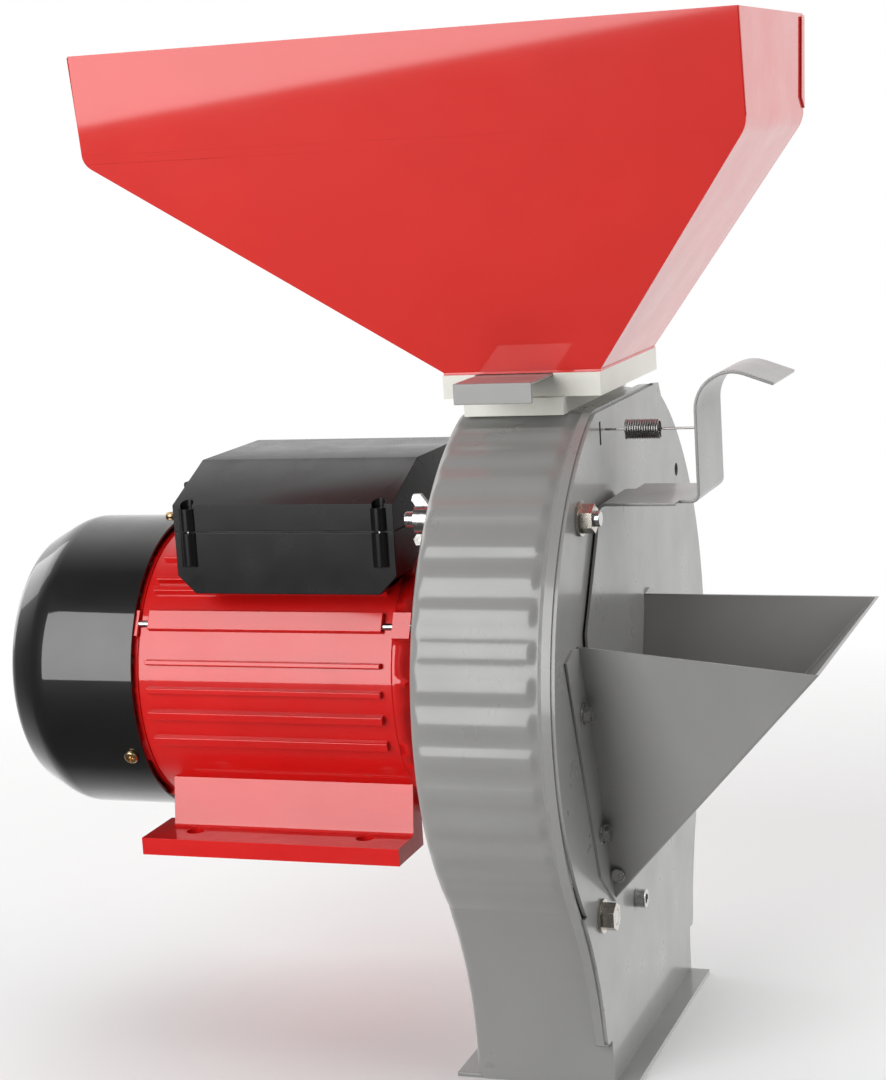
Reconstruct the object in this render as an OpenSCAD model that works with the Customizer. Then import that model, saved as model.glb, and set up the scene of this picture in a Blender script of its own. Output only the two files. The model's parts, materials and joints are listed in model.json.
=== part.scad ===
// Hammer mill for grain and cobs: a motor carries a drum-shaped grinding
// housing on its shaft end. Grain falls from the top hopper past a slide gate,
// cobs go in through the side hopper, where a sprung flap presses them in.
// X runs along the motor shaft, from the fan to the front cover. Z is up.
// The origin is the centre of the outlet mouth, under the housing.

/* [Housing] */
// Height of the shaft above the outlet mouth
axis_h = 205; // [200:1:215]
// Outer radius of the drum
drum_r = 154; // [152:1:156]
// Depth of the drum along the shaft
drum_depth = 74; // [74:1:76]
// Radius of the rim that carries the front cover
rim_r = 158; // [158:1:160]
// Outer width of the outlet duct
duct_w = 172; // [168:2:176]
// Height of the flat on top of the drum
flat_h = 350; // [348:1:351]
// Wall thickness of the housing
housing_t = 3; // [2.5:0.5:3]
// Number of pressed flutes round the drum
flute_count = 35; // [25:1:37]

/* [Hopper] */
// Height of the top edge of the hopper
hopper_top = 545; // [535:5:560]
// Height of the straight band below the top edge
hopper_band = 56; // [40:2:70]
// Reach of the hopper over the motor
hopper_back = 230; // [200:5:240]
// Reach of the hopper over the side hopper
hopper_front = 125; // [110:5:130]
// Width of the hopper across the shaft
hopper_w = 163; // [150:1:180]
// Thickness of the hopper sheet
sheet_t = 1.2; // [0.8:0.1:1.5]

/* [Side hopper] */
// Reach of the side hopper in front of the cover
side_reach = 124; // [100:2:130]
// Height of its rim above the outlet mouth
side_top = 242; // [230:1:250]
// Height of its lower tip
side_tip = 97; // [97:1:104]
// Distance of its middle from the shaft, towards the near side
side_shift = 50; // [46:1:50]

/* [Motor] */
// Outer radius of the motor frame without its ribs
frame_r = 79; // [79:1:80]
// Height of the shaft above the foot
foot_h = 90; // [89:1:91]
// Bolt spacing of the foot along the shaft
foot_bolt_x = 100; // [90:5:110]
// Bolt spacing of the foot across the shaft
foot_bolt_y = 140; // [136:2:144]
// Radius of the fan cover
fan_cover_r = 83; // [83:1:86]

/* [Rotor] */
// Pitch radius of the hammer pins
pin_pitch = 64; // [62:1:65]
// Length of a hammer from its pin to its tip
hammer_reach = 45; // [40:1:46]
// Number of hammers on each pin
hammers_per_pin = 3; // [2:1:3]

/* [Hidden] */
$fn = 96;
eps = 0.01;

// Paint and metal colours
paint_grey = [0.56, 0.56, 0.55];
paint_red = [0.85, 0.13, 0.12];
shade_grey = [0.42, 0.42, 0.42];
black_plastic = [0.08, 0.08, 0.09];
zinc = [0.75, 0.75, 0.76];
steel = [0.55, 0.56, 0.58];
copper = [0.72, 0.42, 0.22];

// Housing planes
front_x = drum_depth / 2;
rear_x = -front_x;
cover_t = 2;
cover_x = front_x + cover_t;
rim_t = 4;
flare_h = 105;
flare_top = sqrt(pow(drum_r, 2) - pow(axis_h - flare_h, 2));
rim_foot = 27;
rim_lip = 9;
flange_w = 11;
flange_t = 2.5;
stud_yz = [-98, 303];
lower_yz = [-95, 97];
spare_hole_yz = [104, 296];
clamp_r = 4;

// Inlet neck and gate
neck_x = [-30, 23];
neck_y = 62;
neck_mid = -3.5;
passage_x = 38;
passage_y = 80;
neck_step = flat_h + 9;
neck_top = flat_h + 21;
gate_t = 1.5;
gate_w = 41;
gate_lip_y = -95;
hopper_foot = neck_top + 1.2;
hopper_foot_x = 42;
hopper_foot_y = 56;

// Flap on its pin
pin_r = 2.5;
curl_r = 4.3;
flap_t = 1.6;
flap_pin_x = cover_x + 5.5;
flap_pin_z = side_tip + 17;
flap_x = flap_pin_x - curl_r;
flap_top = 306;
shelf_end = 92;
strip_near = -63;
strip_w = 55;
hook_y = -45;
hook_z = 340;
coil_r = 5.2;
wire_r = 0.6;

// Motor planes along the shaft
frame_x = [-221, -73];
foot_x = [-223, -73];
fan_edge_x = -223;
fan_shoulder_x = -278;
fan_back_x = -304;
rib_h = 4;
core_x = [-195, -105];
bore_r = 45.2;
rotor_r = 44.7;
shaft_r = 12;
run_gap = 0.05;
rod_angle = 27;
rod_pitch = 79;
rod_r = 2;
core_r = 76;
pad_r = frame_r + rib_h + 1.5;

// Terminal box
box_x = [-191, -66];
box_y = 80;
box_low = 260;
box_seam = 293;
lid_eave = 308;
lid_top = 326;
lid_flat = 38;
box_wall = 2.5;

// Chamber
disc_r = 78;
disc_t = 4;
disc_x = [-22, 16];
hammer_t = 4;
hammer_w = 25;
hammer_pin_r = 5;
screen_r = 118;
screen_t = 1.5;
screen_span = 250;

// Extrudes a (Y, Z) outline along X
module along_x(x0, x1) {
    translate([x0, 0, 0]) rotate([90, 0, 90]) linear_extrude(x1 - x0) children();
}

// A cylinder along X, at a (Y, Z) place
module rod_x(x0, x1, r, yz = [0, 0], sides = $fn) {
    translate([x0, yz[0], yz[1]]) rotate([0, 90, 0]) cylinder(r = r, h = x1 - x0, $fn = sides);
}

// A tube along X about the shaft line
module tube_x(x0, x1, r_out, r_in) {
    difference() {
        rod_x(x0, x1, r_out, [0, axis_h]);
        rod_x(x0 - 1, x1 + 1, r_in, [0, axis_h]);
    }
}

// A hexagon along X
module hex_x(x0, x1, across, yz) {
    rod_x(x0, x1, across / sqrt(3), yz, 6);
}

// Revolves an (r, x) profile about the shaft line
module about_shaft() {
    translate([0, 0, axis_h]) rotate([0, 90, 0]) rotate_extrude($fn = 128) children();
}

// Places children at a radius and an angle about the shaft line, turned with the angle
module at_angle(a) {
    translate([0, 0, axis_h]) rotate([a, 0, 0]) children();
}

// Half width of the duct where it flares into the drum
function flare(z) = duct_w / 2 + (flare_top - duct_w / 2) * pow(max(z, 0) / flare_h, 2.2);

// Outline of drum and duct, grown by g, from height z0 up
module housing_outline(g = 0, z0 = 0, r = drum_r) {
    flare_z = [for (z = [15:15:flare_h]) z];
    side = concat([[flare(0) + g, z0]], [for (z = flare_z) if (z > z0) [flare(z) + g, z]]);
    mirrored = [for (i = [len(side) - 1:-1:0]) [-side[i][0], side[i][1]]];
    polygon(concat(side, mirrored));
    intersection() {
        translate([0, axis_h]) circle(r = r + g, $fn = 128);
        translate([-200, flare_h - 40]) square([400, flat_h + g - flare_h + 40]);
    }
}

// Outline of the rim and of the cover on it
module rim_outline(r, lip) {
    housing_outline(0, 0);
    intersection() {
        housing_outline(lip, rim_foot, r - lip);
        translate([-200, rim_foot]) square([400, flat_h - rim_foot]);
    }
}

// Low round-topped flutes on the drum
module drum_flutes() {
    fade = 7;
    span = 232;
    pitch = span / (flute_count - 1);
    intersection() {
        along_x(rear_x + fade, front_x - fade - 3)
            for (i = [0:flute_count - 1])
                translate([0, axis_h]) rotate(-span / 2 + 90 + i * pitch)
                    translate([drum_r - 5, 0]) circle(r = 6.5, $fn = 32);
        along_x(rear_x, front_x) intersection() {
            housing_outline(2);
            translate([-200, 0]) square([400, flat_h]);
        }
    }
}

// Boss for the lower bolt, with a web that joins it to the wall
module bolt_boss() {
    boss_r = 8;
    boss_depth = 10;
    rod_x(front_x - boss_depth, front_x, boss_r, lower_yz);
    along_x(front_x - boss_depth, front_x) intersection() {
        housing_outline(-1);
        translate([lower_yz[0] - 40, lower_yz[1] - boss_r / 2]) square([40, boss_r]);
    }
}

module housing() {
    color(paint_grey) difference() {
        union() {
            difference() {
                union() {
                    along_x(rear_x, front_x) housing_outline();
                    along_x(front_x - rim_t, front_x) rim_outline(rim_r, rim_lip);
                    drum_flutes();
                }
                along_x(rear_x + housing_t, front_x + 1) housing_outline(-housing_t, -1);
            }
            bolt_boss();
            translate([rear_x - flange_w, -duct_w / 2, 0]) cube([flange_w + 1, duct_w, flange_t]);
        }
        translate([neck_mid - passage_x / 2, -passage_y / 2, flat_h - 10])
            cube([passage_x, passage_y, 20]);
        rod_x(rear_x - 1, rear_x + 10, 30, [0, axis_h]);
        for (a = [45:90:315]) at_angle(a) rod_x(rear_x - 1, rear_x + 10, 4.3, [57.5, 0]);
        rod_x(rear_x - 1, front_x + 1, clamp_r + 0.2, stud_yz);
        rod_x(front_x - 11, front_x + 1, clamp_r + 0.2, lower_yz);
    }
}

// Outline of the feed opening behind the flap
module feed_outline() {
    polygon([[-side_shift - 15, 126], [-side_shift + 15, 126], [-side_shift + 42, 222],
        [-side_shift + 42, 240], [-side_shift + 22, 286], [-side_shift - 22, 286],
        [-side_shift - 42, 240], [-side_shift - 42, 222]]);
}

module front_cover() {
    ear = [[56, flat_h - 6], [60, flat_h + 1], [72, flat_h], [84, flat_h - 20]];
    color(paint_grey) difference() {
        union() {
            along_x(front_x, cover_x) {
                rim_outline(rim_r - 1, rim_lip - 1);
                polygon(ear);
            }
            translate([front_x, -duct_w / 2, 0]) cube([cover_t + flange_w, duct_w, flange_t]);
        }
        along_x(front_x - 1, cover_x + 1) feed_outline();
        for (yz = [stud_yz, lower_yz]) rod_x(front_x - 1, cover_x + 1, clamp_r + 0.2, yz);
        rod_x(front_x - 1, cover_x + 1, 3.75, spare_hole_yz);
        for (yz = side_screw_yz) rod_x(front_x - 1, cover_x + 1, 2.6, yz);
        rod_x(front_x - 1, cover_x + 1, 3.1, guide_screw_yz);
        translate([front_x - 1, hook_y - 9, hook_z - 7]) cube([cover_t + 2, 3, 12]);
    }
}

// Stud through the drum, with its threads left plain
module cover_stud() {
    color(zinc) rod_x(rear_x - 15, cover_x + 11, clamp_r, stud_yz);
    color(zinc) rod_x(front_x - 10, cover_x + 8, clamp_r, lower_yz);
}

// A flanged nut whose seat is at x0
module flange_nut(x0, yz, across = 13) {
    difference() {
        union() {
            rod_x(x0, x0 + 1.6, across * 0.68, yz);
            hex_x(x0 + 1, x0 + 8, across, yz);
        }
        rod_x(x0 - 1, x0 + 9, clamp_r + run_gap, yz);
    }
}

module cover_nuts() {
    color(zinc) for (yz = [stud_yz, lower_yz]) flange_nut(cover_x, yz);
}

// Wing nut on the stud, behind the drum
module wing_nut() {
    seat = rear_x - 0.1;
    wing = [[-1, 4], [-7, 4], [-11, 10], [-10, 13], [-6, 13], [-3, 9]];
    color(zinc) difference() {
        union() {
            rod_x(seat - 9, seat, 7.5, stud_yz);
            for (side = [0, 1]) translate([seat, stud_yz[0], stud_yz[1]]) mirror([0, 0, side])
                along_y(-1.6, 1.6) polygon(wing);
        }
        rod_x(seat - 16, seat + 1, clamp_r + run_gap, stud_yz);
    }
}

module inlet_neck() {
    color([0.93, 0.92, 0.87]) difference() {
        union() {
            translate([neck_x[0], -neck_y, flat_h])
                cube([neck_x[1] - neck_x[0], 2 * neck_y, neck_step - flat_h]);
            translate([-hopper_foot_x, -hopper_foot_y - 2, neck_step])
                cube([2 * hopper_foot_x, 2 * hopper_foot_y + 4, neck_top - neck_step]);
        }
        translate([neck_mid - passage_x / 2, -passage_y / 2, flat_h - 1])
            cube([passage_x, passage_y, 40]);
        translate([neck_mid - gate_w / 2 - 0.3, -hopper_foot_y - 3, neck_top - gate_t - 0.6])
            cube([gate_w + 0.6, hopper_foot_y + passage_y / 2 + 10, 5]);
        for (xy = neck_screw_xy) translate([xy[0], xy[1], neck_top - 14]) cylinder(r = 2.1, h = 20);
    }
}

neck_screw_xy = [for (x = [-33, 31], y = [-48, 48]) [x, y]];

module neck_screws() {
    top = hopper_foot + sheet_t;
    color(zinc) for (xy = neck_screw_xy) translate([xy[0], xy[1], 0]) {
        translate([0, 0, top - 14]) cylinder(r = 2.05, h = 14);
        translate([0, 0, top]) cylinder(r = 4.5, h = 2.6);
    }
}

module gate_shutter() {
    plate_z = neck_top - gate_t - 0.3;
    color(shade_grey) {
        translate([neck_mid - gate_w / 2, gate_lip_y, plate_z])
            cube([gate_w, -gate_lip_y + passage_y / 2 + 6, gate_t]);
        translate([neck_mid - gate_w / 2, gate_lip_y, plate_z - 9])
            cube([gate_w, gate_t, 9 + gate_t]);
    }
}

// A sheet between an outer loop of corners and the same loop moved by v
module sheet(corners, v) {
    n = len(corners);
    moved = [for (c = corners) c + v];
    sides = [for (i = [0:n - 1]) [i, n + i, n + (i + 1) % n, (i + 1) % n]];
    polyhedron(concat(corners, moved),
        concat([[for (i = [0:n - 1]) i]], [[for (i = [n - 1:-1:0]) n + i]], sides));
}

band_low = hopper_top - hopper_band;
hopper_y = hopper_w / 2;
// Half width of the hopper at height z
function hopper_half(z) =
    hopper_foot_y + (hopper_y - hopper_foot_y) * (z - hopper_foot) / (hopper_top - hopper_foot);

// Outline of the hopper seen from the side, each corner at its place on one long side
function hopper_loop(side, inset = 0) = [
    for (p = [[-hopper_back + inset, hopper_top], [hopper_front - inset, hopper_top],
        [hopper_front - inset, band_low], [hopper_foot_x - inset, hopper_foot],
        [-hopper_foot_x + inset, hopper_foot], [-hopper_back + inset, band_low]])
        [p[0], side * hopper_half(p[1]), p[1]]];

module hopper_near_sheet() {
    color(paint_red) sheet(hopper_loop(-1), [0, sheet_t, 0]);
}

module hopper_far_sheet() {
    loop = hopper_loop(1);
    color(paint_red) sheet([for (i = [len(loop) - 1:-1:0]) loop[i]], [0, -sheet_t, 0]);
}

// A cross sheet between the two long sides, from (x0, z0) down to (x1, z1)
module cross_sheet(x0, z0, x1, z1, v) {
    y0 = hopper_half(z0) - sheet_t;
    y1 = hopper_half(z1) - sheet_t;
    sheet([[x0, -y0, z0], [x0, y0, z0], [x1, y1, z1], [x1, -y1, z1]], v);
}

module hopper_rear_sheet() {
    color(paint_red) {
        cross_sheet(-hopper_back, hopper_top, -hopper_back, band_low, [sheet_t, 0, 0]);
        cross_sheet(-hopper_back, band_low, -hopper_foot_x, hopper_foot, [sheet_t, 0, 0]);
    }
}

module hopper_front_sheet() {
    color(paint_red) mirror([1, 0, 0]) {
        cross_sheet(-hopper_front, hopper_top, -hopper_front, band_low, [sheet_t, 0, 0]);
        cross_sheet(-hopper_front, band_low, -hopper_foot_x, hopper_foot, [sheet_t, 0, 0]);
    }
}

module hopper_bottom_rim() {
    color(paint_red) difference() {
        translate([-hopper_foot_x, -hopper_foot_y, neck_top])
            cube([2 * hopper_foot_x, 2 * hopper_foot_y, hopper_foot - neck_top]);
        translate([neck_mid - passage_x / 2, -passage_y / 2, neck_top - 1])
            cube([passage_x, passage_y, 10]);
        for (xy = neck_screw_xy) translate([xy[0], xy[1], neck_top - 1]) cylinder(r = 2.3, h = 10);
    }
}

// Wedge of the side hopper: root on the cover, open at the top
tip_half = 22;
root_half = 65;
mouth_half = 90;
mouth_drop = 6;
module side_wedge(inset, lift, root) {
    tip = tip_half - inset;
    root_w = root_half - inset;
    mouth = mouth_half - inset;
    translate([0, -side_shift, lift]) polyhedron([
        [root, -tip, side_tip], [root, tip, side_tip],
        [root, -root_w, side_top], [root, root_w, side_top],
        [cover_x + side_reach, -mouth, side_top - mouth_drop],
        [cover_x + side_reach, mouth, side_top - mouth_drop]],
        [[0, 2, 4], [1, 5, 3], [0, 4, 5, 1], [2, 3, 5, 4], [0, 1, 3, 2]]);
}

side_t = 1.5;
side_screw_yz = [for (p = [[65, 208], [42, 140]], s = [-1, 1]) [-side_shift + s * p[0], p[1]]];
guide_screw_yz = [-28, 84];

module side_hopper() {
    ear = [[-root_half + 2, side_top - 1], [-root_half - 11, side_top + 1], [-88, side_top - 3],
        [-47, 118], [-tip_half, side_tip], [-tip_half + 2, side_tip + 5]];
    color(shade_grey) difference() {
        union() {
            difference() {
                side_wedge(0, 0, cover_x);
                side_wedge(side_t, 1.8, cover_x - 2);
            }
            for (s = [0, 1]) along_x(cover_x, cover_x + side_t)
                translate([-side_shift, 0]) mirror([s, 0]) polygon(ear);
        }
        for (yz = side_screw_yz) rod_x(cover_x - 1, cover_x + 5, 2.7, yz);
        translate([flap_pin_x, -side_shift - 60, flap_pin_z]) rotate([-90, 0, 0])
            cylinder(r = pin_r + run_gap, h = 120);
    }
}

// Hexagon-head screws with washers
module side_hopper_screws() {
    seat = cover_x + side_t;
    color(zinc) for (yz = side_screw_yz) {
        rod_x(front_x - 3, seat, 2.5, yz);
        rod_x(seat, seat + 1, 5.5, yz);
        hex_x(seat + 1, seat + 4.6, 8, yz);
    }
}

// Socket-head screw that holds the lower screen guide
module guide_screw() {
    color(zinc) difference() {
        union() {
            rod_x(front_x - 6, cover_x, 3, guide_screw_yz);
            rod_x(cover_x, cover_x + 6, 5, guide_screw_yz);
        }
        rod_x(cover_x + 2.5, cover_x + 7, 2.9, guide_screw_yz, 6);
    }
}

// A ring about the shaft, open over the inlet
module open_ring(x0, x1, r_out, r_in) {
    gap = 360 - screen_span;
    difference() {
        tube_x(x0, x1, r_out, r_in);
        along_x(x0 - 1, x1 + 1) translate([0, axis_h]) polygon([[0, 0],
            [300 * sin(gap / 2), 300 * cos(gap / 2)], [0, 600],
            [-300 * sin(gap / 2), 300 * cos(gap / 2)]]);
    }
}

module screen() {
    hole_rows = [-24:12:24];
    color(steel) difference() {
        open_ring(rear_x + housing_t + 1, front_x - 1, screen_r + screen_t, screen_r);
        for (a = [-112:14:112], x = hole_rows)
            at_angle(a) translate([x, 0, -screen_r - screen_t - 2]) cylinder(r = 4, h = 6, $fn = 6);
    }
}

// Rails that hold the screen, one on the housing and one behind the cover
module screen_guides() {
    color(steel) open_ring(rear_x + housing_t, rear_x + housing_t + 5,
        screen_r + screen_t + 3.2, screen_r + screen_t + 0.2);
    color(steel) difference() {
        union() {
            open_ring(front_x - 6, front_x, screen_r + screen_t + 3.2, screen_r + screen_t + 0.2);
            rod_x(front_x - 6, front_x, 7, guide_screw_yz);
        }
        rod_x(front_x - 8, front_x + 1, 3.05, guide_screw_yz);
        rod_x(front_x - 8, front_x + 1, screen_r + screen_t + 0.2, [0, axis_h]);
    }
}

// Flap that presses the cobs in: plate, shelf and handle strip bent from one sheet
module flap() {
    mid = 2 - side_shift;
    plate = [[-18, flap_pin_z], [18, flap_pin_z], [56, side_top - 6], [56, side_top + 4],
        [23, flap_top], [-23, flap_top], [-56, side_top + 4], [-56, side_top - 6]];
    color(paint_grey) difference() {
        union() {
            along_x(flap_x, flap_x + flap_t) translate([mid, 0]) polygon(plate);
            translate([flap_pin_x, mid - 18, flap_pin_z]) rotate([-90, 0, 0])
                cylinder(r = curl_r, h = 36);
        }
        translate([flap_pin_x, mid - 40, flap_pin_z]) rotate([-90, 0, 0])
            cylinder(r = pin_r + run_gap, h = 80);
    }
    color(paint_grey) along_x(flap_x, shelf_end)
        translate([mid - 23, flap_top - flap_t]) square([46, flap_t]);
    color(paint_grey) translate([flap_x + 6, strip_near, flap_top - flap_t])
        cube([shelf_end - flap_x - 6, strip_w, flap_t]);
    color(paint_grey) difference() {
        translate([0, strip_near + strip_w, 0]) rotate([90, 0, 0])
            linear_extrude(strip_w) handle_profile();
        translate([shelf_end - 5, hook_y, hook_z]) rotate([0, 90, 0]) cylinder(r = 1.5, h = 10);
    }
}

// Side view of the handle strip: up, over an arc, then out and a little down
module handle_profile() {
    bend = 18;
    bend_z = 351;
    droop = 20;
    out = 16;
    start = shelf_end - flap_t;
    arc_x = start + flap_t + bend;
    outer = [for (a = [180:-10:90 - droop]) [arc_x + (bend + flap_t) * cos(a),
        bend_z + (bend + flap_t) * sin(a)]];
    inner = [for (a = [90 - droop:10:180]) [arc_x + bend * cos(a), bend_z + bend * sin(a)]];
    last = outer[len(outer) - 1];
    first = inner[0];
    tip = [out * cos(-droop), out * sin(-droop)];
    polygon(concat([[start, flap_top - flap_t]], outer, [last + tip, first + tip], inner,
        [[start + flap_t, flap_top - flap_t]]));
}

module flap_pin() {
    reach = tip_half + 7.5;
    head_t = 2;
    color(zinc) translate([flap_pin_x, -side_shift, flap_pin_z]) rotate([-90, 0, 0]) {
        translate([0, 0, -reach]) cylinder(r = pin_r, h = 2 * reach);
        for (z = [-reach - head_t, reach]) translate([0, 0, z]) cylinder(r = 3.6, h = head_t);
    }
}

// Extension spring, as one closed solid with its two straight ends
module flap_spring() {
    coil_x = [cover_x + 11, cover_x + 30];
    color(steel) {
        rod_x(cover_x + 0.4, coil_x[0] + 1, wire_r, [hook_y, hook_z], 16);
        rod_x(coil_x[0], coil_x[1], coil_r, [hook_y, hook_z], 32);
        rod_x(coil_x[1] - 1, shelf_end - flap_t - 0.5, wire_r, [hook_y, hook_z], 16);
    }
}

// Cast frame with low ribs, a pad for the terminal box, and two feet
module motor_frame() {
    rib_pitch = 12;
    foot_z = axis_h - foot_h;
    foot_plate = 9.5;
    foot_gap = 48;
    web_y = 60;
    mid = (foot_x[0] + foot_x[1]) / 2;
    color(paint_red) difference() {
        union() {
            rod_x(frame_x[0], frame_x[1], frame_r, [0, axis_h]);
            for (a = [-48:rib_pitch:48], side = [90, -90])
                at_angle(side + a) translate([frame_x[0] + 6, -1.5, frame_r - 3])
                    cube([frame_x[1] - frame_x[0] - 12, 3, rib_h + 3]);
            intersection() {
                rod_x(-182, -76, pad_r, [0, axis_h]);
                translate([-182, -40, axis_h + 60]) cube([106, 80, 40]);
            }
            difference() {
                union() {
                    translate([foot_x[0] + 9, -web_y, foot_z])
                        cube([foot_x[1] - foot_x[0] - 9, 2 * web_y, 42]);
                    translate([foot_x[0], -86, foot_z])
                        cube([foot_x[1] - foot_x[0], 172, foot_plate]);
                }
                translate([foot_x[0] - 1, -foot_gap, foot_z - 1])
                    cube([foot_x[1] - foot_x[0] + 2, 2 * foot_gap, 60]);
            }
        }
        rod_x(frame_x[0] - 1, frame_x[1] + 1, core_r, [0, axis_h]);
        for (a = rod_angles) at_angle(a)
            rod_x(frame_x[0] - 1, frame_x[1] + 1, rod_r + 0.2, [0, rod_pitch]);
        for (x = [mid - foot_bolt_x / 2, mid + foot_bolt_x / 2], y = [-1, 1])
            translate([x, y * foot_bolt_y / 2, foot_z - 1]) cylinder(r = 5, h = 20);
        translate([-140, -12, axis_h + 60]) cube([24, 24, 30]);
    }
}

// Drive-side end bell with the bearing seat and the mounting face for the drum
module front_end_bell() {
    color(paint_red) difference() {
        union() {
            about_shaft() polygon([[29.5, rear_x + 3], [29.5, rear_x], [73, rear_x], [73, -45],
                [60, -50], [60, -58], [79, -66], [79, frame_x[1]], [75.9, frame_x[1]],
                [75.9, frame_x[1] - 6], [70, frame_x[1] - 6], [66, -66], [33, -64],
                [18, -64], [18, -62], [26, -62], [26, -47], [18, -47], [18, rear_x + 3]]);
            for (a = rod_angles) at_angle(a) translate([-73, -7, 70]) cube([10, 14, 12.5]);
        }
        for (a = rod_angles) at_angle(a) rod_x(-90, -50, rod_r + 0.1, [0, rod_pitch]);
        for (a = [45:90:315]) at_angle(a) rod_x(-47.5, rear_x + 5, 3.4, [57.5, 0]);
    }
}

rod_angles = [90 - rod_angle, 150, 210, 270 + rod_angle];

module rear_end_bell() {
    color(paint_red) difference() {
        union() {
            about_shaft() polygon([[14, -238], [32, -238], [34, -232], [79, -228],
                [79, frame_x[0]], [75.9, frame_x[0]], [75.9, frame_x[0] + 6], [70, frame_x[0] + 6],
                [68, -223], [30, -221], [14, -220], [14, -222], [23.5, -222], [23.5, -236],
                [14, -236]]);
            for (a = rod_angles) at_angle(a) translate([-228, -7, 70]) cube([7, 14, 11.3]);
            for (a = fan_screw_angles) at_angle(a) translate([fan_screw_x - 5, -6, 60])
                cube([12, 12, fan_cover_r - 2.1 - 60]);
        }
        for (a = rod_angles) at_angle(a) rod_x(-240, -200, rod_r + 0.1, [0, rod_pitch]);
        for (a = fan_screw_angles) at_angle(a) translate([fan_screw_x, 0, fan_cover_r - 10])
            cylinder(r = 2.55, h = 12);
    }
}

// Socket screws from inside the drum into the end bell
module end_bell_screws() {
    seat = rear_x + housing_t;
    color(steel) for (a = [45:90:315]) at_angle(a) {
        rod_x(-47, seat, 3.3, [57.5, 0]);
        rod_x(seat, seat + 5, 6.5, [57.5, 0]);
    }
}

module tie_rods() {
    color(zinc) for (a = rod_angles) at_angle(a) {
        rod_x(-228, -58, rod_r, [0, rod_pitch]);
        hex_x(-63, -59, 7, [0, rod_pitch]);
    }
}

module stator_core() {
    color(steel) tube_x(core_x[0], core_x[1], core_r, bore_r);
}

module stator_windings() {
    color(copper) for (x = [core_x[0] - 15, core_x[1]]) tube_x(x, x + 15, 68, bore_r + 4);
}

module front_bearing() {
    color(steel) tube_x(-62, -47, 26, shaft_r + run_gap);
}

module rear_bearing() {
    color(steel) tube_x(-236, -222, 23.5, shaft_r + run_gap);
}

module shaft_seal() {
    color([0.3, 0.28, 0.25]) tube_x(-45, rear_x + 2, 18, shaft_r + run_gap);
}

// Pressed fan cover: straight skirt, rounded shoulder, slotted back
module fan_cover() {
    t = 1.5;
    knee = fan_cover_r - 9;
    color(black_plastic) difference() {
        about_shaft() polygon([[fan_cover_r, fan_edge_x], [fan_cover_r, fan_shoulder_x],
            [fan_cover_r - 2.5, fan_shoulder_x - 8], [knee - 1, fan_back_x + 4],
            [knee - 5, fan_back_x], [0, fan_back_x], [0, fan_back_x + t],
            [knee - 5.6, fan_back_x + t], [knee - 2.4, fan_back_x + 4.6],
            [fan_cover_r - 4, fan_shoulder_x - 7.6], [fan_cover_r - t, fan_shoulder_x],
            [fan_cover_r - t, fan_edge_x]]);
        for (a = [0:20:340], r = [26, 48]) at_angle(a)
            translate([fan_back_x - 1, -2.5, r]) cube([5, 5, 17]);
        for (a = fan_screw_angles) at_angle(a) translate([fan_screw_x, 0, fan_cover_r - 5])
            cylinder(r = 2.6, h = 10);
    }
}

fan_screw_angles = [0, 90 + rod_angle, 270 - rod_angle];
fan_screw_x = fan_edge_x - 8;

module fan_cover_screws() {
    color([0.75, 0.65, 0.35]) for (a = fan_screw_angles)
        at_angle(a) translate([fan_screw_x, 0, 0]) {
            translate([0, 0, fan_cover_r - 8]) cylinder(r = 2.5, h = 8);
            translate([0, 0, fan_cover_r]) cylinder(r = 4, h = 2.4);
        }
}

// Outline of the terminal box across the shaft, from height z0 to z1
module box_outline(z0, z1, y) {
    translate([-y, z0]) square([2 * y, z1 - z0]);
}

module terminal_box() {
    cut_r = pad_r;
    soft = 14;
    color(black_plastic) difference() {
        union() {
            difference() {
                along_x(box_x[0], box_x[1]) box_outline(box_low, box_seam, box_y);
                along_x(box_x[0] + box_wall, box_x[1] - box_wall) difference() {
                    box_outline(box_low + box_wall, box_seam + 1, box_y - box_wall);
                    translate([0, axis_h]) circle(r = cut_r + box_wall);
                }
            }
            for (xy = box_boss_xy) translate([xy[0], xy[1], box_seam - 18])
                cylinder(r = 4.5, h = 18);
        }
        rod_x(box_x[0] - 1, box_x[1] + 1, cut_r, [0, axis_h]);
        for (x = [box_x[0], box_x[1]]) translate([x, 0, box_low]) rotate([0, 45, 0])
            cube([soft, 400, soft], center = true);
        for (xy = box_boss_xy) translate([xy[0], xy[1], box_seam - 12]) cylinder(r = 1.8, h = 20);
        rod_x(box_x[0] - 1, box_x[0] + 5, 8.1, gland_yz);
    }
}

box_boss_xy = [for (x = [box_x[0] + 8, box_x[1] - 8], y = [-box_y + 1.5, box_y - 1.5]) [x, y]];
gland_yz = [66, 278];
gasket_t = 1;

module terminal_gasket() {
    color([0.15, 0.15, 0.15]) difference() {
        along_x(box_x[0], box_x[1]) box_outline(box_seam, box_seam + gasket_t, box_y);
        along_x(box_x[0] + 4, box_x[1] - 4)
            box_outline(box_seam - 1, box_seam + 2 * gasket_t, box_y - 8);
        for (xy = box_boss_xy) translate([xy[0], xy[1], box_seam - 1]) cylinder(r = 2.1, h = 9);
    }
}

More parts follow.
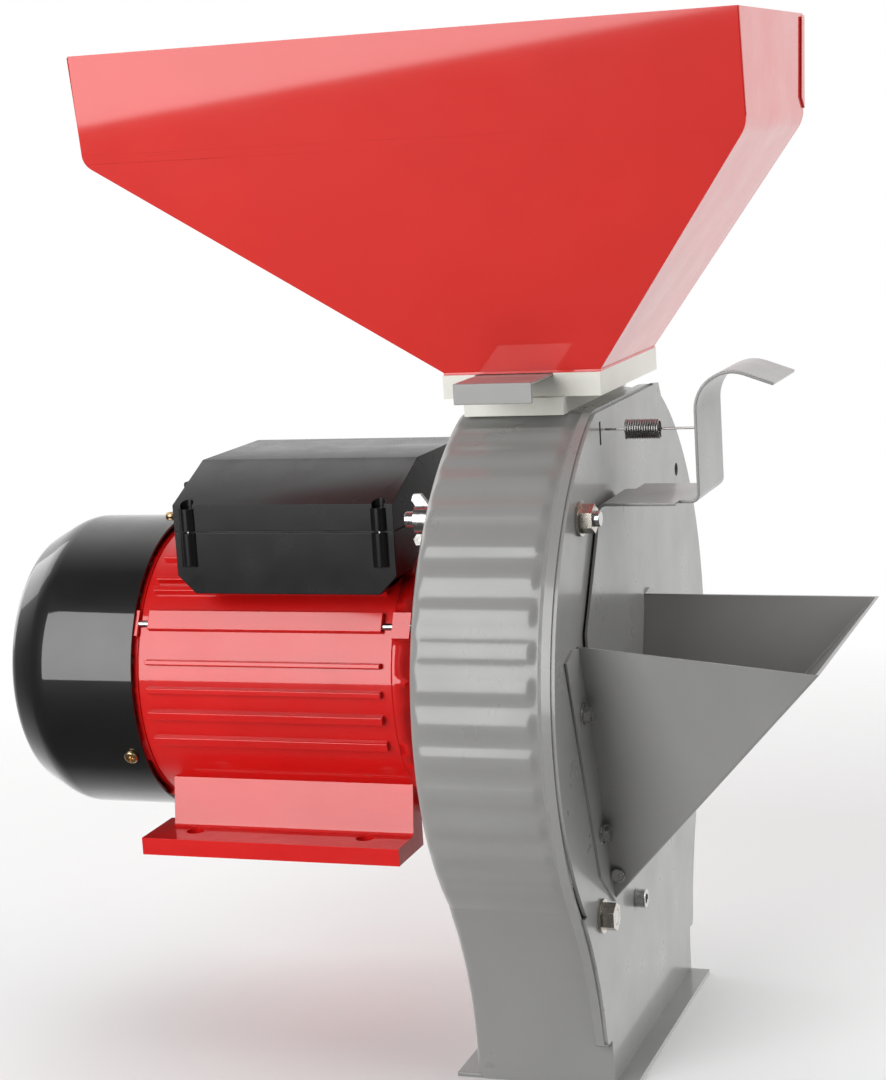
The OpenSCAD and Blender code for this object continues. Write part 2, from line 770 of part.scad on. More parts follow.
module terminal_lid() {
    low = box_seam + gasket_t;
    roof = [[-box_y, low], [box_y, low], [box_y, lid_eave], [lid_flat, lid_top],
        [-lid_flat, lid_top], [-box_y, lid_eave]];
    room = [[-box_y + 8, low - 1], [box_y - 8, low - 1], [box_y - 8, lid_eave - 1],
        [lid_flat - 1, lid_top - box_wall], [-lid_flat + 1, lid_top - box_wall],
        [-box_y + 8, lid_eave - 1]];
    color(black_plastic) difference() {
        union() {
            along_x(box_x[0], box_x[1]) polygon(roof);
            for (xy = box_boss_xy) translate([xy[0], xy[1], low]) cylinder(r = 4.5, h = 12);
        }
        along_x(box_x[0] + box_wall, box_x[1] - box_wall) polygon(room);
        for (xy = box_boss_xy) {
            translate([xy[0], xy[1], low - 1]) cylinder(r = 2.1, h = 30);
            translate([xy[0], xy[1], lid_eave - 5]) cylinder(r = 3.6, h = 30);
        }
        translate([box_x[0] - 1, switch_y[0] + 2, 298]) cube([6, switch_y[1] - switch_y[0] - 4, 12]);
    }
}

module terminal_screws() {
    color(zinc) for (xy = box_boss_xy) translate([xy[0], xy[1], 0]) {
        translate([0, 0, box_seam - 10]) cylinder(r = 1.75, h = lid_eave - box_seam + 5);
        translate([0, 0, lid_eave - 5]) cylinder(r = 3.2, h = 2.4);
    }
}

cap_yz = [60, 284];
cap_r = 12;

module start_capacitor() {
    color([0.2, 0.2, 0.22]) rod_x(-172, -96, cap_r, [-cap_yz[0], cap_yz[1]]);
}

module run_capacitor() {
    color([0.8, 0.8, 0.78]) rod_x(-162, -100, cap_r, cap_yz);
}

module terminal_block() {
    base = axis_h + pad_r + box_wall;
    color([0.85, 0.84, 0.78]) difference() {
        translate([-150, -22, base]) cube([46, 44, 10]);
        for (x = [-140, -127, -114], y = [-11, 11]) translate([x, y, base + 4])
            cylinder(r = 3, h = 10);
    }
}

module cable_gland() {
    color(black_plastic) difference() {
        union() {
            rod_x(box_x[0] - 2, box_x[0] + 6, 8, gland_yz);
            hex_x(box_x[0] - 7, box_x[0] + eps, 20, gland_yz);
            rod_x(box_x[0] - 16, box_x[0] - 6, 8.5, gland_yz);
        }
        rod_x(box_x[0] - 17, box_x[0] + 7, 4, gland_yz);
    }
}

switch_y = [-40, 0];
switch_z = [286, 314];
rocker_pivot = [box_x[0] - 9, 300];

module switch_body() {
    depth = 12;
    color(black_plastic) difference() {
        translate([box_x[0] - depth, switch_y[0], switch_z[0]])
            cube([depth, switch_y[1] - switch_y[0], switch_z[1] - switch_z[0]]);
        translate([box_x[0] - depth - 1, switch_y[0] + 9, switch_z[0] + 3])
            cube([depth - 1, 22, switch_z[1] - switch_z[0] - 6]);
    }
}

module switch_rocker() {
    y0 = switch_y[0] + 9.5;
    color([0.75, 0.1, 0.08]) along_y(y0, y0 + 21) translate(rocker_pivot) {
        polygon([[0, -5], [0, 5], [-3, 9.5], [-5, 9.5], [-3.4, 0], [-5, -9.5], [-3, -9.5]]);
        circle(r = 3.3);
    }
}

// Extrudes an (X, Z) outline along Y
module along_y(y0, y1) {
    translate([0, y1, 0]) rotate([90, 0, 0]) linear_extrude(y1 - y0) children();
}

hub_end = disc_x[1] + disc_t + 2;

module motor_shaft() {
    color(steel) difference() {
        union() {
            rod_x(-288, hub_end - 1, shaft_r, [0, axis_h]);
            rod_x(hub_end - 2, hub_end + 11, 7, [0, axis_h]);
        }
        translate([-24, -3, axis_h + shaft_r - 3]) cube([38, 6, 10]);
    }
}

module shaft_key() {
    color(steel) translate([-24, -3, axis_h + shaft_r - 3]) cube([38, 6, 5.5]);
}

module rotor_core() {
    color(steel) tube_x(core_x[0], core_x[1], rotor_r, shaft_r);
}

module cooling_fan() {
    hub_x = [-270, -246];
    color(black_plastic) {
        tube_x(hub_x[0], hub_x[1], 20, shaft_r);
        tube_x(hub_x[1] - 3, hub_x[1], 70, 19);
        for (a = [0:45:315]) at_angle(a)
            translate([hub_x[0], -1.5, 19]) cube([hub_x[1] - hub_x[0], 3, 52]);
    }
}

module rotor_hub() {
    color(steel) difference() {
        tube_x(rear_x + housing_t + 4, hub_end, 22, shaft_r);
        translate([-40, -3, axis_h]) cube([80, 6, shaft_r + 2.5]);
    }
}

module hammer_disc(x0) {
    color(steel) difference() {
        tube_x(x0, x0 + disc_t, disc_r, 22);
        for (a = [0:90:270]) at_angle(45 + a) rod_x(x0 - 1, x0 + disc_t + 1, hammer_pin_r, [0, pin_pitch]);
    }
}

module rear_disc() { hammer_disc(disc_x[0]); }

module front_disc() { hammer_disc(disc_x[1]); }

module hammer_pins() {
    color(zinc) for (a = [0:90:270]) at_angle(45 + a) {
        rod_x(disc_x[0] - 3, disc_x[1] + disc_t + 2.5, hammer_pin_r, [0, pin_pitch]);
        rod_x(disc_x[0] - 3, disc_x[0], 7.5, [0, pin_pitch]);
        rod_x(disc_x[1] + disc_t, disc_x[1] + disc_t + 1.5, 7.5, [0, pin_pitch]);
    }
}

inner_x = disc_x[0] + disc_t;
inner_w = disc_x[1] - inner_x;
gap_w = (inner_w - hammers_per_pin * hammer_t) / (hammers_per_pin + 1);
function hammer_x(i) = inner_x + gap_w + i * (gap_w + hammer_t);

module hammer_spacers() {
    slack = 0.15;
    color(steel) for (a = [0:90:270], i = [0:hammers_per_pin]) {
        x0 = inner_x + i * (gap_w + hammer_t);
        at_angle(45 + a) difference() {
            rod_x(x0 + (i > 0 ? slack : 0), x0 + gap_w - (i < hammers_per_pin ? slack : 0), 8,
                [0, pin_pitch]);
            rod_x(x0 - 1, x0 + gap_w + 1, hammer_pin_r, [0, pin_pitch]);
        }
    }
}

module hammer_row(index) {
    back = 12;
    color(steel) at_angle(45 + 90 * index) for (i = [0:hammers_per_pin - 1]) difference() {
        translate([hammer_x(i), -hammer_w / 2, pin_pitch - back])
            cube([hammer_t, hammer_w, back + hammer_reach]);
        rod_x(hammer_x(i) - 1, hammer_x(i) + hammer_t + 1, hammer_pin_r + run_gap, [0, pin_pitch]);
    }
}

module hammers_1() { hammer_row(0); }

module hammers_2() { hammer_row(1); }

module hammers_3() { hammer_row(2); }

module hammers_4() { hammer_row(3); }

module hub_washer() {
    color(zinc) tube_x(hub_end, hub_end + 2, 16, 7);
}

module hub_nut() {
    color(zinc) difference() {
        hex_x(hub_end + 2, hub_end + 9, 22, [0, axis_h]);
        rod_x(hub_end + 1, hub_end + 10, 7, [0, axis_h]);
    }
}

housing();
front_cover();
cover_stud();
cover_nuts();
wing_nut();
inlet_neck();
neck_screws();
gate_shutter();
hopper_near_sheet();
hopper_far_sheet();
hopper_rear_sheet();
hopper_front_sheet();
hopper_bottom_rim();
side_hopper();
side_hopper_screws();
screen();
screen_guides();
guide_screw();
flap();
flap_pin();
flap_spring();
motor_frame();
front_end_bell();
rear_end_bell();
end_bell_screws();
tie_rods();
stator_core();
stator_windings();
front_bearing();
rear_bearing();
shaft_seal();
fan_cover();
fan_cover_screws();
terminal_box();
terminal_lid();
terminal_gasket();
terminal_screws();
start_capacitor();
run_capacitor();
terminal_block();
cable_gland();
switch_body();
switch_rocker();
motor_shaft();
rotor_core();
cooling_fan();
shaft_key();
rotor_hub();
rear_disc();
front_disc();
hammer_pins();
hammer_spacers();
hub_washer();
hub_nut();
hammers_1();
hammers_2();
hammers_3();
hammers_4();
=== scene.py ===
import json
import math

import bmesh
import bpy
from mathutils import Matrix, Vector

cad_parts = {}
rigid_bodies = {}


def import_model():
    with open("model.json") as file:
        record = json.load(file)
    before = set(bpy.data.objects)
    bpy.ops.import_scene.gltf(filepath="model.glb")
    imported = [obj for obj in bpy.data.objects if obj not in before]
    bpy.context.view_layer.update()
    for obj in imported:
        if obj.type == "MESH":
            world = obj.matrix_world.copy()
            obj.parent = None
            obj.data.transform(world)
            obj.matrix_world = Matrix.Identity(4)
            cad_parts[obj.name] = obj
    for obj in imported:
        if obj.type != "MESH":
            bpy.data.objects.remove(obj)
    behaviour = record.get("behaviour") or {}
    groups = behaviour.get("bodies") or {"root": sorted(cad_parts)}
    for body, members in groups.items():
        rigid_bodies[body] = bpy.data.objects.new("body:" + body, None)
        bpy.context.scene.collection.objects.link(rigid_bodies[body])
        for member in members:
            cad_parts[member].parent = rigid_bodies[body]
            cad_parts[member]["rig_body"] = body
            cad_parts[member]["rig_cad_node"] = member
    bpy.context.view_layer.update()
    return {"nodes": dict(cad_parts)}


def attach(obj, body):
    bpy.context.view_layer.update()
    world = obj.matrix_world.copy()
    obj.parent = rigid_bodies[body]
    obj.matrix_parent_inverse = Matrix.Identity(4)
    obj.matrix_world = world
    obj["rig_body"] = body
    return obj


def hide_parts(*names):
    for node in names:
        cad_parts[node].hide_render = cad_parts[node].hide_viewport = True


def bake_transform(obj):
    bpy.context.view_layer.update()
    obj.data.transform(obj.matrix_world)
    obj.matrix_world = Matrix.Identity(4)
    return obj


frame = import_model()
nodes = frame["nodes"]
mm = 0.001
print("frame loaded")


# small helpers for modelling

def clearSelection():
    if bpy.context.object and bpy.context.object.mode == "EDIT":
        bpy.ops.object.mode_set(mode="OBJECT")
    bpy.ops.object.select_all(action="DESELECT")


def workOn(piece):
    clearSelection()
    piece.select_set(True)
    bpy.context.view_layer.objects.active = piece


def newPiece(name):
    piece = bpy.context.object
    piece.name = name
    bpy.ops.object.transform_apply(location=True, rotation=True, scale=True)
    return piece


def pick(piece, kind, test):
    # selects the faces, edges or vertices of the edited mesh that pass the test
    if piece.mode != "EDIT":
        workOn(piece)
        bpy.ops.object.mode_set(mode="EDIT")
    bpy.ops.mesh.select_mode(type=kind)
    bpy.ops.mesh.select_all(action="DESELECT")
    cage = bmesh.from_edit_mesh(piece.data)
    if kind == "FACE":
        for face in cage.faces:
            face.select_set(bool(test(face.calc_center_median(), face.normal)))
    elif kind == "EDGE":
        for edge in cage.edges:
            edge.select_set(bool(test(edge.verts[0].co, edge.verts[1].co)))
    else:
        for vert in cage.verts:
            vert.select_set(bool(test(vert.co)))
    cage.select_flush_mode()
    bmesh.update_edit_mesh(piece.data)


def extrudeBy(step):
    bpy.ops.mesh.extrude_region_move(TRANSFORM_OT_translate={"value": step})


def modify(piece, kind, **settings):
    workOn(piece)
    bpy.ops.object.modifier_add(type=kind)
    modifier = piece.modifiers[-1]
    for key, value in settings.items():
        setattr(modifier, key, value)
    bpy.ops.object.modifier_apply(modifier=modifier.name)


def drawLine(name, points):
    # a chain of edges, one extruded vertex at a time
    clearSelection()
    bpy.ops.mesh.primitive_plane_add(size=mm, location=points[0])
    piece = newPiece(name)
    bpy.ops.object.mode_set(mode="EDIT")
    bpy.ops.mesh.select_mode(type="VERT")
    bpy.ops.mesh.select_all(action="SELECT")
    bpy.ops.mesh.merge(type="CENTER")
    for here, there in zip(points, points[1:]):
        extrudeBy(Vector(there) - Vector(here))
    return piece


def drawFace(name, points):
    piece = drawLine(name, points)
    bpy.ops.mesh.select_all(action="SELECT")
    bpy.ops.mesh.edge_face_add()
    return piece


def arc(centre, radius, start, end, steps):
    # points in a plane, angles in degrees
    angles = [math.radians(start + (end - start) * i / steps) for i in range(steps + 1)]
    return [(centre[0] + radius * math.cos(a), centre[1] + radius * math.sin(a)) for a in angles]


def joinPieces(first, *others):
    clearSelection()
    for piece in (first, *others):
        piece.select_set(True)
    bpy.context.view_layer.objects.active = first
    bpy.ops.object.join()
    return first


def cutWith(piece, cutter):
    modify(piece, "BOOLEAN", operation="DIFFERENCE", solver="EXACT", object=cutter)
    bpy.data.objects.remove(cutter)


def copyOf(piece, name):
    workOn(piece)
    bpy.ops.object.duplicate()
    twin = bpy.context.object
    twin.name = name
    return twin


def boxShape(name, low, high):
    clearSelection()
    middle = [(a + b) / 2 for a, b in zip(low, high)]
    bpy.ops.mesh.primitive_cube_add(size=1, location=middle,
                                    scale=[b - a for a, b in zip(low, high)])
    return newPiece(name)


def rodShape(name, start, end, radius, sides=32, endRadius=None):
    # a round bar or a cone frustum between two points
    clearSelection()
    start, end = Vector(start), Vector(end)
    turn = (end - start).to_track_quat("Z", "Y").to_euler()
    bpy.ops.mesh.primitive_cone_add(vertices=sides, radius1=radius,
                                    radius2=radius if endRadius is None else endRadius,
                                    depth=(end - start).length, location=(start + end) / 2,
                                    rotation=turn)
    return newPiece(name)


def barAlongX(name, start, end, y, z, radius, sides=32):
    return rodShape(name, (start, y, z), (end, y, z), radius, sides)


def softenEdges(piece, width, segments=2, angle=30):
    modify(piece, "BEVEL", width=width, segments=segments, limit_method="ANGLE",
           angle_limit=math.radians(angle), use_clamp_overlap=True)


def finish(piece, material, body, stands=(), smooth=40):
    workOn(piece)
    bpy.ops.object.mode_set(mode="EDIT")
    bpy.ops.mesh.select_all(action="SELECT")
    bpy.ops.mesh.remove_doubles(threshold=0.002 * mm)
    bpy.ops.mesh.normals_make_consistent(inside=False)
    bpy.ops.object.mode_set(mode="OBJECT")
    bpy.ops.object.shade_smooth_by_angle(angle=math.radians(smooth))
    modify(piece, "WEIGHTED_NORMAL", keep_sharp=True)
    piece.data.materials.clear()
    piece.data.materials.append(material)
    if body:
        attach(piece, body)
    if stands:
        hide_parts(*stands)
    return piece


def softCopy(node, name, width, segments=2, angle=30, rounded=None):
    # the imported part's own shape with its sharp edges broken
    workOn(nodes[node])
    bpy.ops.object.duplicate()
    piece = bpy.context.object
    piece.name = name
    piece.parent = None
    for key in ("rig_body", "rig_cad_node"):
        if key in piece:
            del piece[key]
    bpy.ops.object.mode_set(mode="EDIT")
    bpy.ops.mesh.select_all(action="SELECT")
    bpy.ops.mesh.remove_doubles(threshold=0.005 * mm)
    bpy.ops.mesh.dissolve_limited(angle_limit=math.radians(0.6))
    if rounded:
        pick(piece, "EDGE", rounded[0])
        bpy.ops.mesh.bevel(offset=rounded[1], segments=5)
    bpy.ops.object.mode_set(mode="OBJECT")
    softenEdges(piece, width, segments, angle)
    return piece


# finishes

def newMaterial(name):
    material = bpy.data.materials.new(name)
    material.use_nodes = True
    tree = material.node_tree
    return material, tree, tree.nodes["Principled BSDF"]


def node(tree, kind, **values):
    made = tree.nodes.new("ShaderNode" + kind)
    for key, value in values.items():
        if hasattr(made, key):
            setattr(made, key, value)
        else:
            made.inputs[key.replace("_", " ")].default_value = value
    return made


def place(tree, scale=1):
    # object coordinates, in metres, times a scale along each axis
    where = tree.nodes.new("ShaderNodeTexCoord")
    mapping = tree.nodes.new("ShaderNodeMapping")
    mapping.inputs["Scale"].default_value = (scale,) * 3 if isinstance(scale, (int, float)) else scale
    tree.links.new(where.outputs["Object"], mapping.inputs["Vector"])
    return mapping.outputs["Vector"]


def noise(tree, scale, detail=3, roughness=0.55, stretch=1):
    made = node(tree, "TexNoise", Scale=scale, Detail=detail, Roughness=roughness)
    tree.links.new(place(tree, stretch), made.inputs["Vector"])
    return made.outputs["Fac"]


def ramp(tree, value, low, high, start=0.0, end=1.0):
    made = node(tree, "MapRange", clamp=True)
    for key, number in (("From Min", low), ("From Max", high), ("To Min", start), ("To Max", end)):
        made.inputs[key].default_value = number
    tree.links.new(value, made.inputs["Value"])
    return made.outputs["Result"]


def mixColour(tree, amount, first, second):
    # a colour Mix node has its two colours at sockets 6 and 7 and its result at output 2
    made = tree.nodes.new("ShaderNodeMix")
    made.data_type = "RGBA"
    for socket, value in ((6, first), (7, second)):
        if isinstance(value, tuple):
            made.inputs[socket].default_value = (*value, 1)
        else:
            tree.links.new(value, made.inputs[socket])
    tree.links.new(amount, made.inputs[0])
    return made.outputs[2]


def bump(tree, shader, height, distance, under=None):
    made = node(tree, "Bump", Strength=1.0, Distance=distance)
    tree.links.new(height, made.inputs["Height"])
    if under:
        tree.links.new(under, made.inputs["Normal"])
    tree.links.new(made.outputs["Normal"], shader.inputs["Normal"])
    return made.outputs["Normal"]


def paint(name, colour, look):
    # gloss enamel: slight tone drift, orange peel, long waves and dust nicks
    material, tree, shader = newMaterial(name)
    deep = tuple(c * (1 - look["drift"]) for c in colour)
    tone = mixColour(tree, ramp(tree, noise(tree, 14, 4), 0.35, 0.7), colour, deep)
    nick = ramp(tree, noise(tree, look["nickScale"], 2, 0.8), look["nickAt"], look["nickAt"] + 0.02)
    tone = mixColour(tree, nick, tone, look["nickColour"])
    tree.links.new(tone, shader.inputs["Base Color"])
    rough = ramp(tree, noise(tree, 30, 5), 0.3, 0.75, look["rough"] * 0.8, look["rough"] * 1.3)
    tree.links.new(rough, shader.inputs["Roughness"])
    shader.inputs["Specular IOR Level"].default_value = look["shine"]
    shader.inputs["Coat Weight"].default_value = look["coat"]
    shader.inputs["Coat Roughness"].default_value = look["coatRough"]
    first = bump(tree, shader, noise(tree, look["peelScale"], 2), look["peelDepth"] * mm)
    bump(tree, shader, noise(tree, look["waveScale"], 2), look["waveDepth"] * mm, first)
    return material


hopperPaint = {
    "drift": 0.06, "nickScale": 260, "nickAt": 0.82, "nickColour": (0.86, 0.42, 0.38),
    "rough": 0.4, "coat": 1.0, "coatRough": 0.04,
    "peelScale": 420, "peelDepth": 0.015, "waveScale": 9, "waveDepth": 0.8, "shine": 0.15,
}
greyPaint = {
    "drift": 0.07, "nickScale": 180, "nickAt": 0.85, "nickColour": (0.55, 0.55, 0.54),
    "rough": 0.32, "coat": 0.45, "coatRough": 0.1,
    "peelScale": 380, "peelDepth": 0.015, "waveScale": 26, "waveDepth": 0.4, "shine": 0.4,
}
castPaint = {
    "drift": 0.12, "nickScale": 300, "nickAt": 0.8, "nickColour": (0.35, 0.01, 0.01),
    "rough": 0.4, "coat": 1.0, "coatRough": 0.05,
    "peelScale": 330, "peelDepth": 0.1, "waveScale": 60, "waveDepth": 0.35, "shine": 0.2,
}
blackPaint = {
    "drift": 0.2, "nickScale": 240, "nickAt": 0.81, "nickColour": (0.2, 0.2, 0.19),
    "rough": 0.4, "coat": 1.0, "coatRough": 0.04,
    "peelScale": 300, "peelDepth": 0.015, "waveScale": 14, "waveDepth": 0.5, "shine": 0.2,
}
redEnamel = paint("redEnamel", (0.7, 0.028, 0.022), hopperPaint)
greyEnamel = paint("greyEnamel", (0.275, 0.275, 0.267), greyPaint)
# the grey enamel again with a slightly darker base colour as painted shade for the side hopper and the gate
# shutter, which wear the same grey paint as the housing; it is also a little rougher
shadedGreyEnamel = paint("shadedGreyEnamel", (0.27, 0.27, 0.263), {**greyPaint, "rough": 0.4,
                       "nickColour": (0.4, 0.4, 0.39)})
redCast = paint("redCast", (0.66, 0.006, 0.005), castPaint)
blackEnamel = paint("blackEnamel", (0.008, 0.008, 0.008), blackPaint)


def plastic(name, colour, rough, grain, clouds=0.1, subsurface=0.0, shine=0.5):
    # moulded plastic: fine spark grain and faint flow clouds
    material, tree, shader = newMaterial(name)
    other = tuple(c * (1 - clouds) for c in colour)
    tone = mixColour(tree, ramp(tree, noise(tree, 22, 4), 0.35, 0.7), colour, other)
    tree.links.new(tone, shader.inputs["Base Color"])
    spread = ramp(tree, noise(tree, 55, 4), 0.3, 0.7, rough * 0.85, rough * 1.2)
    tree.links.new(spread, shader.inputs["Roughness"])
    shader.inputs["Subsurface Weight"].default_value = subsurface
    shader.inputs["Specular IOR Level"].default_value = shine
    shader.inputs["Subsurface Radius"].default_value = (0.004, 0.003, 0.002)
    bump(tree, shader, noise(tree, 900, 3), grain * mm)
    return material


blackPlastic = plastic("blackPlastic", (0.007, 0.007, 0.008), 0.24, 0.01, shine=0.28)
redPlastic = plastic("redPlastic", (0.55, 0.02, 0.015), 0.3, 0.01)
creamPlastic = plastic("creamPlastic", (0.8, 0.79, 0.72), 0.42, 0.03, 0.06, 0.15)
rubber = plastic("rubber", (0.02, 0.02, 0.02), 0.7, 0.05)
capacitorWhite = plastic("capacitorWhite", (0.6, 0.6, 0.57), 0.4, 0.02)
terminalCream = plastic("terminalCream", (0.62, 0.6, 0.5), 0.45, 0.02)


def metal(name, colour, rough, stretch, depth, tint):
    # machined or plated metal: drawn-out scratches and patches of tint
    material, tree, shader = newMaterial(name)
    tone = mixColour(tree, ramp(tree, noise(tree, 60, 4), 0.35, 0.7), colour, tint)
    tree.links.new(tone, shader.inputs["Base Color"])
    lines = noise(tree, 300, 3, 0.6, stretch)
    tree.links.new(ramp(tree, lines, 0.3, 0.7, rough * 0.75, rough * 1.3), shader.inputs["Roughness"])
    shader.inputs["Metallic"].default_value = 1.0
    bump(tree, shader, lines, depth * mm)
    return material


zincPlate = metal("zincPlate", (0.55, 0.55, 0.56), 0.24, (1, 1, 1), 0.03, (0.62, 0.61, 0.58))
nickelPlate = metal("nickelPlate", (0.62, 0.58, 0.52), 0.26, (1, 1, 1), 0.03, (0.5, 0.46, 0.4))
yellowZinc = metal("yellowZinc", (0.78, 0.6, 0.28), 0.3, (1, 1, 1), 0.03, (0.66, 0.42, 0.3))
bareSteel = metal("bareSteel", (0.5, 0.5, 0.5), 0.34, (8, 1, 1), 0.03, (0.4, 0.38, 0.36))
springSteel = metal("springSteel", (0.46, 0.46, 0.46), 0.25, (1, 1, 1), 0.02, (0.3, 0.29, 0.28))
laminations = metal("laminations", (0.34, 0.35, 0.36), 0.42, (12, 0.3, 0.3), 0.08, (0.25, 0.25, 0.27))
copperWire = metal("copperWire", (0.65, 0.26, 0.1), 0.35, (0.3, 6, 6), 0.3, (0.45, 0.15, 0.06))
print("finishes ready")


# camera, light and floor

viewpoint = {"place": (0.3626, -1.2035, 0.4973), "turn": 19.69, "down": 9.9, "roll": -3.58,
             "lens": 78.82, "sensor": 36}


def setCamera():
    clearSelection()
    turn = (math.radians(90 - viewpoint["down"]), 0, math.radians(viewpoint["turn"]))
    bpy.ops.object.camera_add(location=viewpoint["place"], rotation=turn)
    camera = bpy.context.object
    roll = Matrix.Rotation(math.radians(viewpoint["roll"]), 3, "Z")
    camera.rotation_euler = (camera.rotation_euler.to_matrix() @ roll).to_euler()
    camera.data.lens = viewpoint["lens"]
    camera.data.sensor_width = viewpoint["sensor"]
    bpy.context.scene.camera = camera


studio = {
    "middle": (0, 0, 0.27),
    # name, direction from the middle, distance, width, height, watts
    "panels": [
        ("frontPanel", (-0.42, -0.9, 0.29), 1.7, 1.15, 1.38, 26),
        ("sidePanel", (0.95, -0.1, 0.45), 1.7, 1.2, 1.4, 13),
        ("topPanel", (-0.1, 0.1, 1), 1.6, 1.6, 1.6, 9),
        ("leftPanel", (-0.97, 0.35, 0.3), 1.9, 0.8, 1.3, 5),
    ],
    "sky": 1.0,
    # tone of the room on its dark side, and where along Y it turns from dark to light
    "darkTone": 0.08, "turnsLight": (-0.1, 0.5),
    "floorRadius": 2.2, "floorFade": (0.4, 0.95),
}


def setLight():
    for name, direction, distance, width, height, watts in studio["panels"]:
        clearSelection()
        spot = Vector(studio["middle"]) + Vector(direction).normalized() * distance
        bpy.ops.object.light_add(type="AREA", location=spot)
        lamp = bpy.context.object
        lamp.name = name
        lamp.rotation_euler = (spot - Vector(studio["middle"])).to_track_quat("Z", "Y").to_euler()
        lamp.data.shape = "RECTANGLE"
        lamp.data.size = width
        lamp.data.size_y = height
        lamp.data.energy = watts
        lamp.visible_glossy = name != "topPanel"
    world = bpy.data.worlds.new("studioWorld")
    bpy.context.scene.world = world
    world.use_nodes = True
    tree = world.node_tree
    sky = tree.nodes["Background"]
    sky.inputs["Strength"].default_value = studio["sky"]
    # a pale room, dark on the camera's side, that the camera itself sees as white
    where = tree.nodes.new("ShaderNodeTexCoord")
    split = tree.nodes.new("ShaderNodeSeparateXYZ")
    tree.links.new(where.outputs["Generated"], split.inputs[0])
    shade = ramp(tree, split.outputs["Y"], *studio["turnsLight"], studio["darkTone"], 1.0)
    path = tree.nodes.new("ShaderNodeLightPath")
    seen = tree.nodes.new("ShaderNodeMath")
    seen.operation = "MAXIMUM"
    tree.links.new(path.outputs["Is Camera Ray"], seen.inputs[0])
    tree.links.new(shade, seen.inputs[1])
    tone = mixColour(tree, seen.outputs[0], (0, 0, 0), (1.0, 1.0, 1.0))
    tree.links.new(tone, sky.inputs["Color"])


def layFloor():
    clearSelection()
    bpy.ops.mesh.primitive_circle_add(vertices=96, radius=studio["floorRadius"], fill_type="NGON")
    floor = newPiece("floor")
    material, tree, shader = newMaterial("paleFloor")
    shader.inputs["Base Color"].default_value = (0.9, 0.9, 0.9, 1)
    shader.inputs["Roughness"].default_value = 0.7
    shader.inputs["Specular IOR Level"].default_value = 0.2
    # the floor fades out with distance, so no horizon shows
    away = tree.nodes.new("ShaderNodeVectorMath")
    away.operation = "LENGTH"
    tree.links.new(place(tree), away.inputs[0])
    solid = ramp(tree, away.outputs["Value"], *studio["floorFade"], 1, 0)
    tree.links.new(solid, shader.inputs["Alpha"])
    floor.data.materials.append(material)
    floor.visible_glossy = False


setCamera()
setLight()
layFloor()
bpy.context.scene.view_settings.view_transform = "Standard"
print("camera, light and floor ready")


# grinding housing

drum = {
    "axis": 205 * mm, "radius": 154 * mm, "flat": 350 * mm, "halfDuct": 86 * mm, "flareTop": 105 * mm,
    "rear": -37 * mm, "front": 37 * mm, "wall": 3 * mm, "edgeRound": 4.5 * mm, "arcStep": 0.9,
    # rows of the sheet along the shaft in mm, close together where it bends
    "rows": [-37, -36.7, -36, -34.6, -33, -31.5, -30, -20, -5, 10, 22, 24, 25.5, 27, 28.5, 29.5, 31,
             32.4, 33, 35, 37],
    # flutes: pitch in degrees, and where they fade in and out along X and Z
    "fluteDepth": 1.3 * mm, "flutePitch": 6.75,
    "fluteStart": (-36 * mm, -30 * mm), "fluteEnd": (24 * mm, 29 * mm),
    "fluteLow": (95 * mm, 165 * mm), "fluteHigh": (342 * mm, 349 * mm),
    # rim that carries the cover, and the wider lip that it turns into low on the sides
    "rimLift": 4 * mm, "rimStart": (29.5 * mm, 32.6 * mm), "rimFoot": 27 * mm,
    "rimSide": (45 * mm, 60 * mm), "rimLip": 8.5 * mm, "lipEnd": (95 * mm, 175 * mm),
    # holes: bolt places are (Y, Z)
    "passage": ((-22.5 * mm, -40 * mm, 335 * mm), (15.5 * mm, 40 * mm, 365 * mm)),
    "shaftHole": 30 * mm, "stud": (-98 * mm, 303 * mm), "lowerBolt": (-95 * mm, 97 * mm),
    "boltHole": 4.2 * mm, "screwPitch": 57.5 * mm, "screwHole": 4.3 * mm,
    "bossStart": 27 * mm, "bossRadius": 8 * mm, "flange": 11 * mm, "flangeThick": 2.5 * mm,
}


def ductHalf(z):
    top = math.sqrt(drum["radius"] ** 2 - (drum["axis"] - drum["flareTop"]) ** 2)
    return drum["halfDuct"] + (top - drum["halfDuct"]) * (max(z, 0) / drum["flareTop"]) ** 2.2


def housingOutline():
    # near half from the bottom up, then its mirror image, all inside by the rear rounding
    steps = 18
    inset, radius = drum["edgeRound"], drum["radius"] - drum["edgeRound"]
    rows = [drum["flareTop"] * i / steps for i in range(steps)]
    half = [(-ductHalf(z) + inset, z) for z in rows]
    low = 180 - math.degrees(math.asin((ductHalf(drum["flareTop"]) - inset) / radius))
    high = math.degrees(math.acos((drum["flat"] - inset - drum["axis"]) / radius))
    half += [(-y, z) for z, y in arc((drum["axis"], 0), radius, low, high,
                                     round((low - high) / drum["arcStep"]))]
    return half + [(-y, z) for y, z in reversed(half)]


def smoothStep(value, low, high):
    t = min(max((value - low) / (high - low), 0), 1)
    return t * t * (3 - 2 * t)


